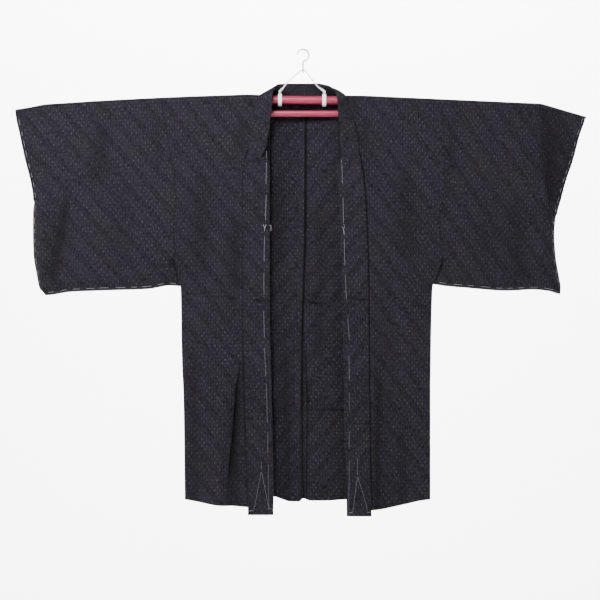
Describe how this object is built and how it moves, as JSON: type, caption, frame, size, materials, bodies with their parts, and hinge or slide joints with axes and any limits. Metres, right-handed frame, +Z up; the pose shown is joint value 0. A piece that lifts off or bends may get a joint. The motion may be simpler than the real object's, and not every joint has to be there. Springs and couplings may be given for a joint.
{
  "type": "haori jacket on a kimono hanger",
  "caption": "Open-fronted unlined haori jacket with wide sleeves and a long folded collar band, hanging flat over a straight kimono hanger with a hook on top",
  "frame": {"origin": "seat of the hook, where it hangs on a rail", "axes": "+Z up, the open fronts face -Y, +X is the garment's right-hand side as seen from the front"},
  "size_m": [1.3692, 0.064, 1.1199],
  "materials": {
    "haori_cloth": "matt dark cloth with rows of small pale dots",
    "hanger_plastic": "glossy crimson moulding",
    "ring_plastic": "smooth white moulding",
    "white_cord": "braided cord",
    "hook_steel": "plated wire"
  },
  "bodies": {
    "root": {"body_left": "haori_cloth", "body_right": "haori_cloth", "sleeve_left": "haori_cloth", "sleeve_right": "haori_cloth", "gusset_left": "haori_cloth", "gusset_right": "haori_cloth", "hem_turnup_left": "haori_cloth", "hem_turnup_right": "haori_cloth", "collar": "haori_cloth", "himo_loop_left": "haori_cloth", "himo_loop_right": "haori_cloth", "hanger_bar": "hanger_plastic", "sash_bar": "hanger_plastic", "ring_left": "ring_plastic", "ring_right": "ring_plastic", "hanging_cord": "white_cord", "hook": "hook_steel"}
  },
  "joints": []
}
